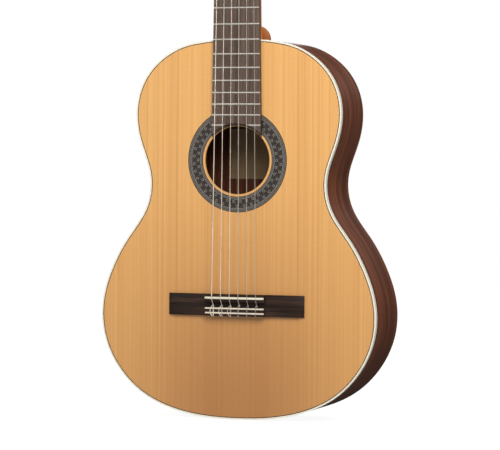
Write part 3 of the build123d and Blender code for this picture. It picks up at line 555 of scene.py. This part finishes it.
for i in range(1, 7):
    (end, nut, sad, hole, rear), sx, r = string_line(i)
    bm = bmesh.new()
    # the free length, with soft corners at the nut and the saddle
    route = [end]
    for k in range(1, 12):
        route.append(end.lerp(nut, k / 12))
    d = (sad - nut).normalized()
    route += [nut + (end - nut).normalized() * 0.35, nut + d * 0.5]
    for k in range(1, 60):
        route.append(nut.lerp(sad, k / 60))
    down = (hole - sad).normalized()
    route += [sad - d * 0.7, sad - d * 0.2 + down * 0.2, sad + down * 0.7]
    for k in (0.25, 0.5, 0.75, 0.95):
        route.append(sad.lerp(hole, k))
    route += [hole + Vector((0, 0, -0.8)), hole + Vector((0, 0, -3)), Vector((sx, HOLE_Y, BOT_Z - 0.3))]
    yt = Y_TOP - TIE_T - r - 0.05
    # the tie: out of the back, up over the block, round the string in front, back over the top and tucked under itself
    if i >= 4:
        # wound strings: an open loop to one side and the end tucked in at the bottom of the block
        knot = [(0, HOLE_Y, BOT_Z - 0.3), (0.5, HOLE_Y - 0.7, BOT_Z - 0.9 - r), (0.9, HOLE_Y - 2.6, BOT_Z - 0.6 - r), (1.15, yt + 0.8, BOT_Z - 0.25 - r),
                (1.2, yt, BOT_Z + 1.0), (1.2, yt, 137.0), (1.15, yt, TIE_Z - 1.0), (1.1, yt + 0.9, TIE_Z + r + 0.35), (1.1, yt + 2.6, TIE_Z + r + 1.2),
                (0.2, yt + 2.3 - r, TIE_Z + r + 2.4), (-1.1, yt + 2.2, TIE_Z + r + 1.3), (-1.8, yt + 0.5, TIE_Z + r + 0.2), (-2.6, yt, TIE_Z - 1.8),
                (-3.0, yt, 137.8), (-2.7, yt, 135.4), (-1.8, yt, 133.4), (-0.7, yt, BOT_Z + 0.6), (-0.1, yt + 0.2, BOT_Z - 0.4)]
    else:
        # plain strings: once over the block, round the string and a short curl in front
        knot = [(0, HOLE_Y, BOT_Z - 0.3), (-0.1, HOLE_Y - 0.7, BOT_Z - 0.9 - r), (-0.2, HOLE_Y - 2.6, BOT_Z - 0.6 - r), (-0.3, yt + 0.8, BOT_Z - 0.25 - r),
                (-0.4, yt, BOT_Z + 1.0), (-0.3, yt, 137.0), (-0.4, yt, TIE_Z - 1.0), (-0.8, yt + 0.9, TIE_Z + r + 0.35), (-1.1, yt + 2.6, TIE_Z + r + 1.2),
                (-0.1, yt + 2.3 - r, TIE_Z + r + 2.4), (1.0, yt + 2.0, TIE_Z + r + 1.6), (1.6, yt + 1.2, TIE_Z + r + 2.4), (1.7, yt + 0.6, TIE_Z + r + 3.2)]
    knot = [Vector((sx + dx, y, z)) for dx, y, z in knot]
    path = route[:-1] + smooth_path(knot, 5)
    tube(bm, path, r, 12, 0)
    bmesh.ops.recalc_face_normals(bm, faces=bm.faces)
    o = new_object(f"string_with_tie_{i}", bm, ["nylon" if i <= 3 else "wound"], smooth=50)
    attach(o, "root")
    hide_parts(f"string_{i}")


# ------------------------------------------------------------------ rollers and the string wound on them
def lathe(bm, origin, axis, profile, seg=40, material=0):
    """Turned solid: profile of (distance along axis, radius), mm."""
    axis = axis.normalized()
    u = Vector((0, S15, C15))
    w = axis.cross(u)
    rings = []
    for h, r in profile:
        rings.append([bm.verts.new((origin + axis * h + (u * math.cos(2 * math.pi * k / seg) + w * math.sin(2 * math.pi * k / seg)) * r) * MM)
                      for k in range(seg)])
    for a, b in zip(rings[:-1], rings[1:]):
        for k in range(seg):
            f = bm.faces.new((a[k], a[(k + 1) % seg], b[(k + 1) % seg], b[k]))
            f.material_index = material
    bm.faces.new(list(reversed(rings[0]))).material_index = material
    bm.faces.new(rings[-1]).material_index = material


WORM_X = 34 + 1.3 + 2.5 + 0.75 + 0.35
for i in range(1, 7):
    sign = 1 if i <= 3 else -1
    j = min(i, 7 - i)
    t = STATIONS[j - 1]
    r = GAUGE[i] / 2
    rx = {1: 21.0, 2: 17.0, 3: 13.5}[j]
    axis = Vector((sign, 0, 0))
    o0 = head(0, t, -10.0)
    gx = WORM_X - 1.3
    bm = bmesh.new()
    lathe(bm, o0, axis, [(5.3, 4.4), (5.6, 4.95), (6.0, 5.0), (24.4, 5.0), (24.6, 4.8), (24.9, 4.8), (25.1, 5.0), (33.5, 5.0), (33.8, 4.7), (33.82, 3.0),
                         (gx - 2.05, 3.0), (gx - 2.03, 1.98), (gx + 2.5, 1.98)], 48, 0)
    # string: turns wound round the roller, four of them (two on the sixth string)
    turns, steps = (2 if i == 6 else 4), 28
    x0 = rx + 0.05
    pts = []
    for k in range(turns * steps + 1):
        a = 2 * math.pi * k / steps
        x = x0 + 2 * r * 1.04 * (k / steps) + r * 0.9
        c = o0 + axis * x
        pts.append(c + (Vector((0, -C15, S15)) * math.cos(a) + Vector((0, S15, C15)) * math.sin(a)) * (5.0 + r + 0.02))
    tube(bm, pts, r * 0.985, 10, 1)
    bmesh.ops.recalc_face_normals(bm, faces=bm.faces)
    o = new_object(f"roller_wound_{i}", bm, ["roller", "nylon" if i <= 3 else "wound"], smooth=40)
    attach(o, f"tuner_roller_{i}")
    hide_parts(f"roller_{i}")


# ------------------------------------------------------------------ eased edges on the crisp wooden and bone pieces
def eased(node, width, name, mats, segments=2, angle=35):
    src = nodes[node]
    mesh = src.data.copy()
    mesh.name = name
    o = bpy.data.objects.new(name, mesh)
    bpy.context.scene.collection.objects.link(o)
    bm = bmesh.new()
    bm.from_mesh(mesh)
    bmesh.ops.remove_doubles(bm, verts=bm.verts, dist=2e-6)
    bmesh.ops.dissolve_limit(bm, angle_limit=math.radians(1.0), verts=bm.verts, edges=bm.edges)
    bm.to_mesh(mesh)
    bm.free()
    mod = o.modifiers.new("ease", "BEVEL")
    mod.width = width * MM
    mod.segments = segments
    mod.limit_method = "ANGLE"
    mod.angle_limit = math.radians(angle)
    mod.use_clamp_overlap = True
    mod.harden_normals = False
    dg = bpy.context.evaluated_depsgraph_get()
    out = bpy.data.meshes.new_from_object(o.evaluated_get(dg))
    o.modifiers.clear()
    o.data = out
    out.materials.clear()
    for k in mats:
        out.materials.append(M[k])
    for p in out.polygons:
        p.use_smooth = True
        p.material_index = 0
    out.set_sharp_from_angle(angle=math.radians(32))
    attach(o, "root")
    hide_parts(node)
    return o


eased("bridge", 0.5, "bridge_eased", ["bridge"])
eased("saddle", 0.6, "saddle_eased", ["bone"])
eased("nut", 0.35, "nut_eased", ["bone"])
eased("head_veneer", 0.5, "head_veneer_eased", ["veneer"])
eased("headstock", 0.8, "headstock_eased", ["neck"])

# ------------------------------------------------------------------ stage, light, camera
bm = bmesh.new()
for c in ((-9, -9), (9, -9), (9, 12), (-9, 12)):
    bm.verts.new((c[0], c[1], -0.0006))
bm.faces.new(bm.verts)
mesh = bpy.data.meshes.new("floor")
bm.to_mesh(mesh)
bm.free()
floor = bpy.data.objects.new("floor", mesh)
bpy.context.scene.collection.objects.link(floor)
fm = Mat("pale_floor", rough=0.9, spec=0.1)
ff = fm.noise(fm.scaled(fm.coords(), (3, 3, 3)), 1.0, 3.0)
fm.color(fm.ramp(ff, [(0.3, (0.20, 0.20, 0.20)), (0.7, (0.22, 0.22, 0.22))]))
fm.b.inputs["Emission Color"].default_value = (1.0, 1.0, 1.0, 1.0)
fm.b.inputs["Emission Strength"].default_value = 0.93
mesh.materials.append(fm.m)
floor.visible_diffuse = False
floor.visible_glossy = False

bpy.context.scene.view_settings.view_transform = "Standard"
bpy.context.scene.view_settings.look = "None"

world = bpy.data.worlds.new("studio")
bpy.context.scene.world = world
world.use_nodes = True
wt = world.node_tree
wt.nodes.clear()


def wnode(kind, **kw):
    n = wt.nodes.new(kind)
    for k, val in kw.items():
        setattr(n, k, val)
    return n


w_out = wnode("ShaderNodeOutputWorld")
seen_bg, soft_bg, gloss_bg = wnode("ShaderNodeBackground"), wnode("ShaderNodeBackground"), wnode("ShaderNodeBackground")
seen_bg.inputs[0].default_value = (1.0, 1.0, 1.0, 1.0)
seen_bg.inputs[1].default_value = 1.0
soft_bg.inputs[0].default_value = (1.0, 0.99, 0.975, 1.0)
soft_bg.inputs[1].default_value = 0.42
# reflections see a room that is lighter in front of the object than behind it
w_co = wnode("ShaderNodeTexCoord")
w_sep = wnode("ShaderNodeSeparateXYZ")
w_ramp = wnode("ShaderNodeMapRange", interpolation_type="SMOOTHSTEP")
w_ramp.inputs["From Min"].default_value = 0.15
w_ramp.inputs["From Max"].default_value = -0.75
w_ramp.inputs["To Min"].default_value = 0.05
w_ramp.inputs["To Max"].default_value = 0.55
wt.links.new(w_co.outputs["Generated"], w_sep.inputs[0])
wt.links.new(w_sep.outputs[1], w_ramp.inputs["Value"])
wt.links.new(w_ramp.outputs[0], gloss_bg.inputs[1])
w_lp = wnode("ShaderNodeLightPath")
w_m1, w_m2 = wnode("ShaderNodeMixShader"), wnode("ShaderNodeMixShader")
wt.links.new(w_lp.outputs["Is Glossy Ray"], w_m1.inputs[0])
wt.links.new(soft_bg.outputs[0], w_m1.inputs[1])
wt.links.new(gloss_bg.outputs[0], w_m1.inputs[2])
wt.links.new(w_lp.outputs["Is Camera Ray"], w_m2.inputs[0])
wt.links.new(w_m1.outputs[0], w_m2.inputs[1])
wt.links.new(seen_bg.outputs[0], w_m2.inputs[2])
wt.links.new(w_m2.outputs[0], w_out.inputs[0])


def area(name, loc, target, size, power, color=(1, 1, 1)):
    light = bpy.data.lights.new(name, "AREA")
    light.shape = "RECTANGLE"
    light.size, light.size_y = size
    light.energy = power
    light.color = color
    o = bpy.data.objects.new(name, light)
    bpy.context.scene.collection.objects.link(o)
    o.location = loc
    o.rotation_euler = (Vector(target) - Vector(loc)).to_track_quat("-Z", "Y").to_euler()
    return o


area("key", (0.75, -1.45, 1.35), (0, 0, 0.35), (1.1, 1.1), 29, (1.0, 0.98, 0.94))
area("fill", (-1.6, -1.7, 0.9), (0, 0, 0.3), (1.2, 1.4), 6, (1.0, 0.99, 0.98))
area("rim", (1.5, 1.5, 1.6), (0, 0, 0.4), (1.2, 1.2), 8)
area("back_fill", (-1.2, 2.0, 1.2), (0, 0, 0.4), (1.4, 1.4), 12)

cam = bpy.data.cameras.new("camera")
cam.sensor_width = 36.0
cam.lens = 36.0 * 2594.23 / 500.0
cam.clip_end = 100
camera = bpy.data.objects.new("camera", cam)
bpy.context.scene.collection.objects.link(camera)
right = Vector((0.94479372, 0.32762364, 0.00525128))
ahead = Vector((-0.32731916, 0.94441013, -0.03084910))
up = Vector((-0.01506625, 0.02742720, 0.99951026))
rot = Matrix((right, up, -ahead)).transposed()
camera.matrix_world = Matrix.Translation((1.08921873, -3.14209024, 0.34811190)) @ rot.to_4x4()
bpy.context.scene.camera = camera
